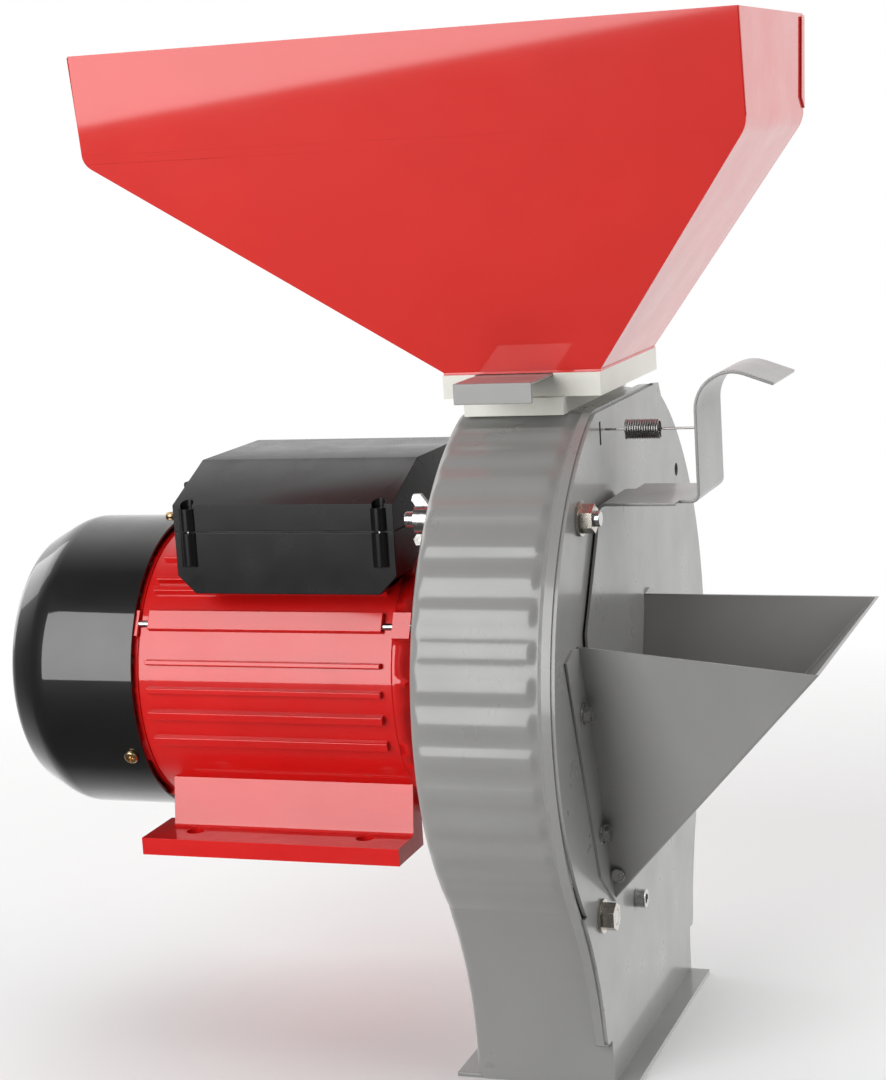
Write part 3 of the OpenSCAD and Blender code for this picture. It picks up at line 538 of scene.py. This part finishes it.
def housingRelief(spot):
    # how far the pressed sheet stands out from the plain drum at a point
    x, y, z = spot
    lift = 0.0
    fromRear = x - drum["rear"]
    if fromRear < drum["edgeRound"]:
        lift -= drum["edgeRound"] - math.sqrt(drum["edgeRound"] ** 2 - (drum["edgeRound"] - fromRear) ** 2)
    turn = math.degrees(math.atan2(-y, z - drum["axis"]))
    wave = 0.5 + 0.5 * math.cos(2 * math.pi * turn / drum["flutePitch"])
    crest = smoothStep(wave, 0.0, 0.9)
    ends = smoothStep(x, *drum["fluteStart"]) * (1 - smoothStep(x, *drum["fluteEnd"]))
    heights = smoothStep(z, *drum["fluteLow"]) * (1 - smoothStep(z, *drum["fluteHigh"]))
    lift += drum["fluteDepth"] * crest * ends * heights
    edge = smoothStep(x, *drum["rimStart"])
    edge *= smoothStep(z, drum["rimFoot"] - 2 * mm, drum["rimFoot"] + 2 * mm)
    lip = 1 - smoothStep(z, *drum["lipEnd"])
    onSide = smoothStep(abs(y), *drum["rimSide"])
    lift += edge * onSide * (drum["rimLift"] + (drum["rimLip"] - drum["rimLift"]) * lip)
    return lift


def makeHousing():
    xs = drum["rows"]
    outline = housingOutline()
    piece = drawLine("housing_shell", [(xs[0] * mm, y, z) for y, z in outline])
    bpy.ops.mesh.select_all(action="SELECT")
    for here, there in zip(xs, xs[1:]):
        extrudeBy(((there - here) * mm, 0, 0))
    pick(piece, "VERT", lambda p: p.x < drum["rear"] + 0.01 * mm)
    bpy.ops.mesh.edge_face_add()
    bpy.ops.mesh.select_all(action="SELECT")
    bpy.ops.mesh.normals_make_consistent(inside=False)
    bpy.ops.object.mode_set(mode="OBJECT")
    # the sheet's shape goes on as a weighted push along the inner outline's normals
    span = 16 * mm  # push at a weight of 1, more than any point needs
    group = piece.vertex_groups.new(name="relief")
    for vert in piece.data.vertices:
        if vert.co.x > drum["rear"] + 0.01 * mm:
            lift = housingRelief(vert.co) + drum["edgeRound"]
            group.add([vert.index], lift / span, "REPLACE")
    modify(piece, "DISPLACE", strength=span, mid_level=0, vertex_group="relief", direction="NORMAL")
    workOn(piece)
    bpy.ops.object.vertex_group_remove(all=True)
    return piece


def tuneHousing(piece):
    # wall, flat foot, holes, rear flange and the boss of the lower bolt
    modify(piece, "SOLIDIFY", thickness=drum["wall"], offset=-1, use_even_offset=True)
    pick(piece, "VERT", lambda p: p.z < 0.3 * mm)
    bpy.ops.transform.resize(value=(1, 1, 0), center_override=(0, 0, 0))
    bpy.ops.object.mode_set(mode="OBJECT")
    cutWith(piece, boxShape("passageCut", *drum["passage"]))
    cutWith(piece, barAlongX("shaftCut", -50 * mm, -20 * mm, 0, drum["axis"], drum["shaftHole"], 64))
    cutWith(piece, barAlongX("studCut", -50 * mm, 50 * mm, *drum["stud"], drum["boltHole"]))
    for turn in (45, 135, 225, 315):
        y, z = (drum["screwPitch"] * f(math.radians(turn)) for f in (math.sin, math.cos))
        low = Vector((-50 * mm, y, drum["axis"] + z))
        cutWith(piece, rodShape("screwCut", low, low + Vector((25 * mm, 0, 0)), drum["screwHole"]))
    softenEdges(piece, 0.25 * mm, 2, 50)
    tab = boxShape("rearFlange", (drum["rear"] - drum["flange"], -drum["halfDuct"], 0),
                   (drum["rear"] + 3 * mm, drum["halfDuct"], drum["flangeThick"]))
    softenEdges(tab, 0.7 * mm, 3)
    boss = barAlongX("boltBoss", drum["bossStart"], drum["front"], *drum["lowerBolt"], drum["bossRadius"])
    cutWith(boss, barAlongX("boltCut", 20 * mm, 40 * mm, *drum["lowerBolt"], drum["boltHole"]))
    return joinPieces(piece, tab, boss)


housing = tuneHousing(makeHousing())
finish(housing, greyEnamel, "frame", ["housing"])
print("housing ready")


# hopper

hopper = {
    "top": 545 * mm, "band": 489 * mm, "foot": 372.2 * mm, "rear": -230 * mm, "front": 125 * mm,
    "footX": 42 * mm, "footY": 56 * mm, "topY": 81.5 * mm, "sheet": 1.2 * mm, "crease": 9 * mm,
    "flange": 8.5 * mm,
}


def hopperHalf(z):
    share = (z - hopper["foot"]) / (hopper["top"] - hopper["foot"])
    return hopper["footY"] + (hopper["topY"] - hopper["footY"]) * share


def hopperEdge(endX, footX):
    # one end of the hopper from the side: down the band, round the crease, in to the neck
    corner = Vector((endX, hopper["band"]))
    slope = Vector((footX - endX, hopper["foot"] - hopper["band"])).normalized()
    share = 0.6  # part of the crease that lies on each side of its corner
    start = Vector((endX, hopper["band"] + hopper["crease"] * share))
    last = corner + slope * hopper["crease"] * share
    bend = []
    for i in range(7):
        t = i / 6
        bend.append(start * (1 - t) ** 2 + corner * 2 * t * (1 - t) + last * t * t)
    return [Vector((endX, hopper["top"])), *bend, Vector((footX, hopper["foot"]))]


def makeSideSheet(name, side):
    def outside(p):
        return side * p.y > side * hopperHalf(p.z) - 0.1 * mm

    loop = hopperEdge(hopper["front"], hopper["footX"])
    loop += list(reversed(hopperEdge(hopper["rear"], -hopper["footX"])))
    piece = drawFace(name, [(p.x, side * hopperHalf(p.y), p.y) for p in loop])
    bpy.ops.mesh.select_all(action="SELECT")
    extrudeBy((0, -side * hopper["sheet"], 0))
    bpy.ops.mesh.select_all(action="SELECT")
    bpy.ops.mesh.normals_make_consistent(inside=False)
    pick(piece, "EDGE", lambda a, b: abs(a.x - b.x) < 0.01 * mm and abs(a.x) > 100 * mm
         and outside(a) and outside(b))
    bpy.ops.mesh.bevel(offset=0.95 * mm, segments=4)
    bpy.ops.object.mode_set(mode="OBJECT")
    softenEdges(piece, 0.3 * mm, 2, 50)
    return piece


def makeEndSheet(name, endX, footX):
    rows = hopperEdge(endX, footX)
    piece = drawLine(name, [(p.x, -mm, p.y) for p in rows])
    bpy.ops.mesh.select_all(action="SELECT")
    extrudeBy((0, 2 * mm, 0))
    for row in rows:
        pick(piece, "VERT", lambda p, z=row.y: abs(p.z - z) < 0.01 * mm)
        wide = (hopperHalf(row.y) - hopper["sheet"] - 0.05 * mm) / mm
        bpy.ops.transform.resize(value=(1, wide, 1), center_override=(row.x, 0, row.y))
    bpy.ops.mesh.select_all(action="SELECT")
    bpy.ops.mesh.normals_make_consistent(inside=False)
    bpy.ops.object.mode_set(mode="OBJECT")
    outward = sum(face.normal.x * face.area for face in piece.data.polygons) * endX > 0
    modify(piece, "SOLIDIFY", thickness=hopper["sheet"], offset=-1 if outward else 1, use_even_offset=True)
    softenEdges(piece, 0.3 * mm, 2, 50)
    return piece


def makeReturnFlange():
    # the far sheet folds round and lies on the front sheet's outer face
    x = hopper["front"]
    high, low = hopperHalf(hopper["top"]), hopperHalf(hopper["band"])
    piece = drawFace("farReturn", [(x, high - 0.6 * mm, hopper["top"] - 1 * mm),
                                   (x, high - hopper["flange"], hopper["top"] - 2 * mm),
                                   (x, low - hopper["flange"], hopper["band"] + 12 * mm),
                                   (x, low - 1 * mm, hopper["band"] + 6 * mm)])
    bpy.ops.mesh.select_all(action="SELECT")
    extrudeBy((1.1 * mm, 0, 0))
    bpy.ops.object.mode_set(mode="OBJECT")
    softenEdges(piece, 0.4 * mm, 3)
    return piece


nearSheet = makeSideSheet("hopper_near", -1)
farSheet = joinPieces(makeSideSheet("hopper_far", 1), makeReturnFlange())
rearSheet = makeEndSheet("hopper_rear", hopper["rear"], -hopper["footX"])
frontSheet = makeEndSheet("hopper_front", hopper["front"], hopper["footX"])
finish(nearSheet, redEnamel, "frame", ["hopper_near_sheet"])
finish(farSheet, redEnamel, "frame", ["hopper_far_sheet"])
finish(rearSheet, redEnamel, "frame", ["hopper_rear_sheet"])
finish(frontSheet, redEnamel, "frame", ["hopper_front_sheet"])
print("hopper ready")


# flap, its handle and its spring

flap = {
    "near": -71 * mm, "far": -25 * mm, "stripNear": -63 * mm, "stripFar": -8 * mm, "x": 41 * mm,
    "stripX": 91.2 * mm, "shelf": 305.2 * mm, "bend": 4 * mm, "hookZ": 351 * mm, "hookBend": 18.8 * mm,
    "droop": 20, "tip": 15.5 * mm, "sheet": 1.6 * mm, "pinX": 44.5 * mm, "pinZ": 114 * mm,
    "pinHole": 2.55 * mm, "curl": 4.3 * mm, "curlHalf": 18 * mm, "middle": -48 * mm,
    # half of the plate up to its shoulder, as distance from its middle and height in mm
    "plate": [(18, 118), (56, 236), (56, 246)],
    # top edge of the plate, and the wings above it that run into the bend
    "plateTop": 290 * mm, "topNear": -76.5 * mm, "topFar": -19.5 * mm, "wingTop": 300 * mm,
}


def flapProfile():
    # middle of the sheet from the plate over the shelf, up the strip and over the handle
    bend = flap["bend"]
    points = [(flap["x"], flap["plateTop"])]
    points += arc((flap["x"] + bend, flap["shelf"] - bend), bend, 180, 90, 5)
    points += [(flap["x"] + 8.2 * mm, flap["shelf"]), (flap["stripX"] - bend - 6 * mm, flap["shelf"])]
    points += arc((flap["stripX"] - bend, flap["shelf"] + bend), bend, -90, 0, 5)
    points += arc((flap["stripX"] + flap["hookBend"], flap["hookZ"]), flap["hookBend"], 180,
                  90 - flap["droop"], 12)
    last = Vector(points[-1])
    lean = math.radians(-flap["droop"])
    points.append(tuple(last + flap["tip"] * Vector((math.cos(lean), math.sin(lean)))))
    return points


def flapPlate():
    x, middle, z = flap["x"], flap["middle"], flap["plateTop"]
    near = [(x, middle - y * mm, h * mm) for y, h in flap["plate"]]
    far = [(x, middle + y * mm, h * mm) for y, h in reversed(flap["plate"])]
    stops = (flap["topNear"], flap["near"], flap["stripNear"], flap["far"], flap["topFar"])
    pieces = [drawFace("flapPlate", near + [(x, y, z) for y in stops] + far)]
    bpy.ops.object.mode_set(mode="OBJECT")
    for side, edge, start in ((-1, flap["topNear"], flap["near"]), (1, flap["topFar"], flap["far"])):
        pieces.append(drawFace("flapWing", [(x, edge, z), (x, start + side * 0.6 * mm, flap["wingTop"]),
                                            (x, start, 300.5 * mm), (x, start, z)]))
        bpy.ops.object.mode_set(mode="OBJECT")
    return pieces


def makeFlap():
    piece = drawLine("flap_sheet", [(x, flap["near"], z) for x, z in flapProfile()])
    bpy.ops.mesh.select_all(action="SELECT")
    stops = (flap["near"], flap["stripNear"], flap["far"], flap["stripFar"])
    for here, there in zip(stops, stops[1:]):
        extrudeBy((0, there - here, 0))
    # the strip starts farther in than the plate, and only the shelf and strip run on to the far side
    strip = flap["stripX"] - flap["bend"] - 5 * mm
    pick(piece, "FACE", lambda c, n: (c.y < flap["stripNear"] and c.x > strip)
         or (c.y > flap["far"] and c.x < flap["x"] + 7 * mm))
    bpy.ops.mesh.delete(type="FACE")
    bpy.ops.object.mode_set(mode="OBJECT")
    piece = joinPieces(piece, *flapPlate())
    bpy.ops.object.mode_set(mode="EDIT")
    bpy.ops.mesh.select_all(action="SELECT")
    bpy.ops.mesh.remove_doubles(threshold=0.02 * mm)
    bpy.ops.mesh.normals_make_consistent(inside=False)
    bpy.ops.object.mode_set(mode="OBJECT")
    modify(piece, "SOLIDIFY", thickness=flap["sheet"], offset=0, use_even_offset=True)
    softenEdges(piece, 0.4 * mm, 2, 40)
    x, z = flap["pinX"], flap["pinZ"]
    curl = rodShape("flapCurl", (x, flap["middle"] - flap["curlHalf"], z),
                    (x, flap["middle"] + flap["curlHalf"], z), flap["curl"], 48)
    cutWith(curl, rodShape("pinCut", (x, -0.1, z), (x, 0.1, z), flap["pinHole"], 48))
    return joinPieces(piece, curl)


coilSpring = {
    "radius": 4.6 * mm, "wire": 0.6 * mm, "turns": 14, "long": 19 * mm, "stepsPerTurn": 26,
    # in mm: the ends and the coils along X, and the height and place across
    "ends": (39.4, 89.9), "coils": (50.6, 68.4), "y": -45, "z": 340,
}


def makeSpring():
    # wound at the origin along Z, then turned to lie along X
    radius, wire, turns = coilSpring["radius"], coilSpring["wire"], coilSpring["turns"]
    clearSelection()
    bpy.ops.mesh.primitive_circle_add(vertices=10, radius=wire, location=(radius, 0, 0),
                                      rotation=(math.radians(90), 0, 0))
    coil = newPiece("spring")
    steps = turns * coilSpring["stepsPerTurn"]
    modify(coil, "SCREW", axis="Z", angle=turns * 2 * math.pi, screw_offset=coilSpring["long"] - 2 * wire,
           steps=steps, render_steps=steps, use_merge_vertices=False)
    first, last = coilSpring["coils"]
    start = Vector((first, coilSpring["y"], coilSpring["z"])) * mm
    workOn(coil)
    coil.rotation_euler = (0, math.radians(90), 0)
    coil.location = start
    bpy.ops.object.transform_apply(location=True, rotation=True, scale=True)
    ends = []
    for near, far in ((coilSpring["ends"][0], first), (last, coilSpring["ends"][1])):
        ends.append(barAlongX("springEnd", near * mm, far * mm, start.y, start.z, wire, 12))
    for x in (first, last):
        ends.append(rodShape("springLead", (x * mm, start.y, start.z + wire / 2),
                             (x * mm, start.y, start.z - radius), wire, 12))
    return joinPieces(coil, *ends)


flapSheet = makeFlap()
finish(flapSheet, greyEnamel, "flap", ["flap"])
print("flap ready")
spring = makeSpring()
finish(spring, springSteel, None, ["flap_spring"])
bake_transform(spring)
print("spring ready")


# motor frame

motor = {
    "axis": 205 * mm, "radius": 79 * mm, "bore": 76 * mm, "rear": -221 * mm, "front": -73 * mm,
    "ribInset": 6 * mm, "ribHeight": 3.6 * mm, "ribRoot": 0.4 * mm,
    # start and end above the horizontal in degrees, height as a share of a full rib
    "ribs": [(-22, -18.6, 0.8), (-10.5, -7.5, 1), (0, 2, 1), (11, 12.6, 1), (24.6, 32, 0.95),
             (40, 42, 1), (45, 46.6, 1), (55.5, 57.5, 1)],
}


def ribOutline():
    root = motor["radius"] - motor["ribRoot"]
    marks = []
    for low, high, share in motor["ribs"]:
        lift = motor["radius"] + share * motor["ribHeight"]
        marks += [(low - 0.5, root), (low, lift), (high, lift), (high + 0.5, root)]
    farSide = [(180 - a, r) for a, r in reversed(marks)]
    plain = [(a, root) for a in (66, 78, 90, 102, 114)]
    below = [(a, root) for a in range(210, 331, 10)]
    return [(r * math.cos(math.radians(a)), motor["axis"] + r * math.sin(math.radians(a)))
            for a, r in marks + plain + farSide + below]


def cutBore(piece):
    cutWith(piece, barAlongX("boreCut", -230 * mm, -60 * mm, 0, motor["axis"], motor["bore"], 144))
    return piece


# the foot's near half; the web leans from its fillet up to the barrel
foot = {
    "floor": 115 * mm, "top": 124.5 * mm, "outer": -86 * mm, "inner": -48 * mm, "web": -65 * mm,
    "fillet": 3 * mm, "webTop": (-57.5 * mm, 157 * mm), "rear": -223 * mm, "webRear": -214 * mm,
    "webLong": 141 * mm, "holes": (-198 * mm, -98 * mm), "holeY": -70 * mm, "holeRadius": 5 * mm,
}


def makeFoot():
    floor, top, inner, outer = foot["floor"], foot["top"], foot["inner"], foot["outer"]
    outline = [(inner, floor), (outer, floor), (outer, top), (foot["web"], top)]
    outline += arc((foot["web"], top + foot["fillet"]), foot["fillet"], -90, -8, 4)[1:]
    outline += [foot["webTop"], (inner, foot["webTop"][1])]
    piece = drawFace("foot", [(foot["webRear"], y, z) for y, z in outline])
    bpy.ops.mesh.select_all(action="SELECT")
    extrudeBy((foot["webLong"], 0, 0))
    bpy.ops.mesh.select_all(action="SELECT")
    bpy.ops.mesh.normals_make_consistent(inside=False)
    bpy.ops.object.mode_set(mode="OBJECT")
    cutBore(piece)
    tail = boxShape("footTail", (foot["rear"], outer, floor), (-213.99 * mm, inner, top))
    for x in foot["holes"]:
        cutWith(piece, rodShape("footHole", (x, foot["holeY"], floor - 2 * mm),
                                (x, foot["holeY"], top + 2 * mm), foot["holeRadius"], 32))
    joinPieces(piece, tail)
    softenEdges(piece, 1.2 * mm, 3, 35)
    modify(piece, "MIRROR", use_axis=(False, True, False))
    return piece


def makeMotorFrame():
    inset = motor["ribInset"]
    ribs = drawFace("motor_casting", [(motor["rear"] + inset, y, z) for y, z in ribOutline()])
    bpy.ops.mesh.select_all(action="SELECT")
    extrudeBy((motor["front"] - motor["rear"] - 2 * inset, 0, 0))
    bpy.ops.mesh.select_all(action="SELECT")
    bpy.ops.mesh.normals_make_consistent(inside=False)
    bpy.ops.object.mode_set(mode="OBJECT")
    cutBore(ribs)
    softenEdges(ribs, 0.7 * mm, 3, 25)
    barrel = barAlongX("motorBarrel", motor["rear"], motor["front"], 0, motor["axis"], motor["radius"], 144)
    cutBore(barrel)
    softenEdges(barrel, 1.0 * mm, 3, 40)
    pad = boxShape("boxPad", (-182 * mm, -40 * mm, motor["axis"] + 60 * mm),
                   (-76 * mm, 40 * mm, motor["axis"] + 84 * mm))
    return joinPieces(ribs, barrel, cutBore(pad), makeFoot())


motorShell = makeMotorFrame()
finish(motorShell, redCast, "frame", ["motor_frame"])
print("motor frame ready")


# fan cover and its screws

fan = {
    # outline of the sheet in mm: distance from the shaft and place along it
    "outline": [(83, -223), (83, -250), (83, -276), (82.7, -279.6), (81.8, -283.2), (80.3, -286.8),
                (77, -293), (73.8, -298.9), (72.2, -301.4), (70, -303.2), (67.2, -304), (66.5, -304),
                (20, -304), (0, -304)],
    "back": -304 * mm, "radius": 83 * mm, "sheet": 1.5 * mm, "slots": 18,
    "slotWide": 5 * mm, "slotStart": (26 * mm, 48 * mm), "slotLong": 17 * mm, "steps": 120,
    "screwAngles": (0, 117, 243), "screwX": -231 * mm, "headRadius": 4 * mm, "headTop": 2.4 * mm,
    "shankRadius": 2.5 * mm,
}


def turnAbout(piece, degrees):
    # turns a piece about the motor shaft
    workOn(piece)
    bpy.ops.object.transform_apply(location=True, rotation=True, scale=True)
    centre = Vector((0, 0, motor["axis"]))
    turn = Matrix.Rotation(math.radians(degrees), 4, "X")
    piece.matrix_world = Matrix.Translation(centre) @ turn @ Matrix.Translation(-centre)
    bpy.ops.object.transform_apply(location=True, rotation=True, scale=True)
    return piece


def makeFanCover():
    piece = drawLine("fan_cover_shell", [(x * mm, 0, motor["axis"] + r * mm) for r, x in fan["outline"]])
    bpy.ops.mesh.select_all(action="SELECT")
    bpy.ops.mesh.spin(steps=fan["steps"], angle=2 * math.pi, center=(0, 0, motor["axis"]), axis=(1, 0, 0))
    bpy.ops.mesh.select_all(action="SELECT")
    bpy.ops.mesh.remove_doubles(threshold=0.01 * mm)
    bpy.ops.mesh.normals_make_consistent(inside=False)
    bpy.ops.object.mode_set(mode="OBJECT")
    outward = sum(face.normal.x * face.area for face in piece.data.polygons) < 0
    modify(piece, "SOLIDIFY", thickness=fan["sheet"], offset=-1 if outward else 1)
    cutter = None
    for i in range(fan["slots"]):
        for start in fan["slotStart"]:
            low, half = motor["axis"] + start, fan["slotWide"] / 2
            slot = boxShape("slot", (fan["back"] - 5 * mm, -half, low),
                            (fan["back"] + 5 * mm, half, low + fan["slotLong"]))
            turnAbout(slot, 360 * i / fan["slots"])
            cutter = joinPieces(cutter, slot) if cutter else slot
    cutWith(piece, cutter)
    softenEdges(piece, 0.35 * mm, 2, 50)
    return piece


def makeFanScrew():
    x, z = fan["screwX"], motor["axis"] + fan["radius"]
    head = rodShape("fanScrew", (x, 0, z - 0.4 * mm), (x, 0, z + fan["headTop"]), fan["headRadius"], 32)
    softenEdges(head, 1.1 * mm, 4, 30)
    for wide, long in ((4.6, 1.1), (1.1, 4.6)):  # the cross recess, in mm
        cutWith(head, boxShape("cross", (x - wide / 2 * mm, -long / 2 * mm, z + 1.2 * mm),
                               (x + wide / 2 * mm, long / 2 * mm, z + 4 * mm)))
    shank = rodShape("shank", (x, 0, z - 8 * mm), (x, 0, z), fan["shankRadius"], 20)
    return joinPieces(head, shank)


fanCover = makeFanCover()
finish(fanCover, blackEnamel, "frame", ["fan_cover"])
fanScrew = makeFanScrew()
screws = [turnAbout(copyOf(fanScrew, "fanScrewCopy"), angle) for angle in fan["screwAngles"][1:]]
fanScrews = joinPieces(turnAbout(fanScrew, fan["screwAngles"][0]), *screws)
fanScrews.name = "fan_screws"
finish(fanScrews, yellowZinc, "frame", ["fan_cover_screws"])
print("fan cover ready")


# pieces softened from the part's own shapes

def hopperFoldEdge(a, b):
    # sloping edges that run from the root of the side hopper out to its mouth
    return abs(a.x - b.x) > 100 * mm and abs(a.z - b.z) > 100 * mm


# pieces with some edges rounded more than the rest: which edges and how much
wideRounds = {"side_hopper": (hopperFoldEdge, 1.4 * mm)}

# node, width of the broken edge in mm, segments, finish, slot
softTable = [
    ("front_cover", 0.3, 2, greyEnamel, "grey_enamel"),
    ("cover_stud", 0.5, 2, zincPlate, "zinc_plate"),
    ("cover_nuts", 0.5, 3, nickelPlate, "zinc_plate"),
    ("wing_nut", 0.6, 3, zincPlate, "zinc_plate"),
    ("inlet_neck", 1.0, 3, creamPlastic, "white_plastic"),
    ("neck_screws", 0.6, 3, zincPlate, "zinc_plate"),
    # the gate shutter gets the grey enamel with painted shade
    ("gate_shutter", 0.4, 3, shadedGreyEnamel, "dark_grey_enamel"),
    ("hopper_bottom_rim", 0.4, 2, redEnamel, "red_enamel"),
    # the side hopper gets the grey enamel with painted shade
    ("side_hopper", 0.5, 2, shadedGreyEnamel, "dark_grey_enamel"),
    ("side_hopper_screws", 0.35, 3, zincPlate, "zinc_plate"),
    ("guide_screw", 0.6, 3, zincPlate, "zinc_plate"),
    ("flap_pin", 0.6, 3, zincPlate, "zinc_plate"),
    ("front_end_bell", 1.2, 3, redCast, "red_cast_paint"),
    ("rear_end_bell", 1.0, 2, redCast, "red_cast_paint"),
    ("tie_rods", 0.4, 2, zincPlate, "zinc_plate"),
    ("terminal_box", 1.6, 3, blackPlastic, "black_plastic"),
    ("terminal_lid", 1.2, 3, blackPlastic, "black_plastic"),
    ("terminal_gasket", 0.2, 1, rubber, "seal_rubber"),
    ("terminal_screws", 0.4, 2, zincPlate, "zinc_plate"),
    ("cable_gland", 0.8, 3, blackPlastic, "black_plastic"),
    ("switch_body", 1.2, 3, blackPlastic, "black_plastic"),
    ("switch_rocker", 0.6, 3, redPlastic, "red_plastic"),
]
for name, width, segments, material, slotName in softTable:
    body = nodes[name]["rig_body"]
    soft = softCopy(name, name + "_soft", width * mm, segments, rounded=wideRounds.get(name))
    finish(soft, material, body, [name])
print("softened pieces ready")


# finishes of the part's own shapes that stay in view

nodeFinish = {
    bareSteel: ["screen", "screen_guides", "end_bell_screws", "front_bearing", "rear_bearing",
                "motor_shaft", "shaft_key", "rotor_hub", "rear_disc", "front_disc", "hammer_spacers",
                "hammers_1", "hammers_2", "hammers_3", "hammers_4"],
    zincPlate: ["hammer_pins", "hub_washer", "hub_nut"],
    laminations: ["stator_core", "rotor_core"],
    copperWire: ["stator_windings"],
    rubber: ["shaft_seal"],
    blackPlastic: ["cooling_fan", "start_capacitor"],
    capacitorWhite: ["run_capacitor"],
    terminalCream: ["terminal_block"],
}
for material, names in nodeFinish.items():
    for name in names:
        if not nodes[name].material_slots:
            nodes[name].data.materials.append(None)
        for slot in nodes[name].material_slots:
            slot.link = "OBJECT"
            slot.material = material
print("inner pieces ready")
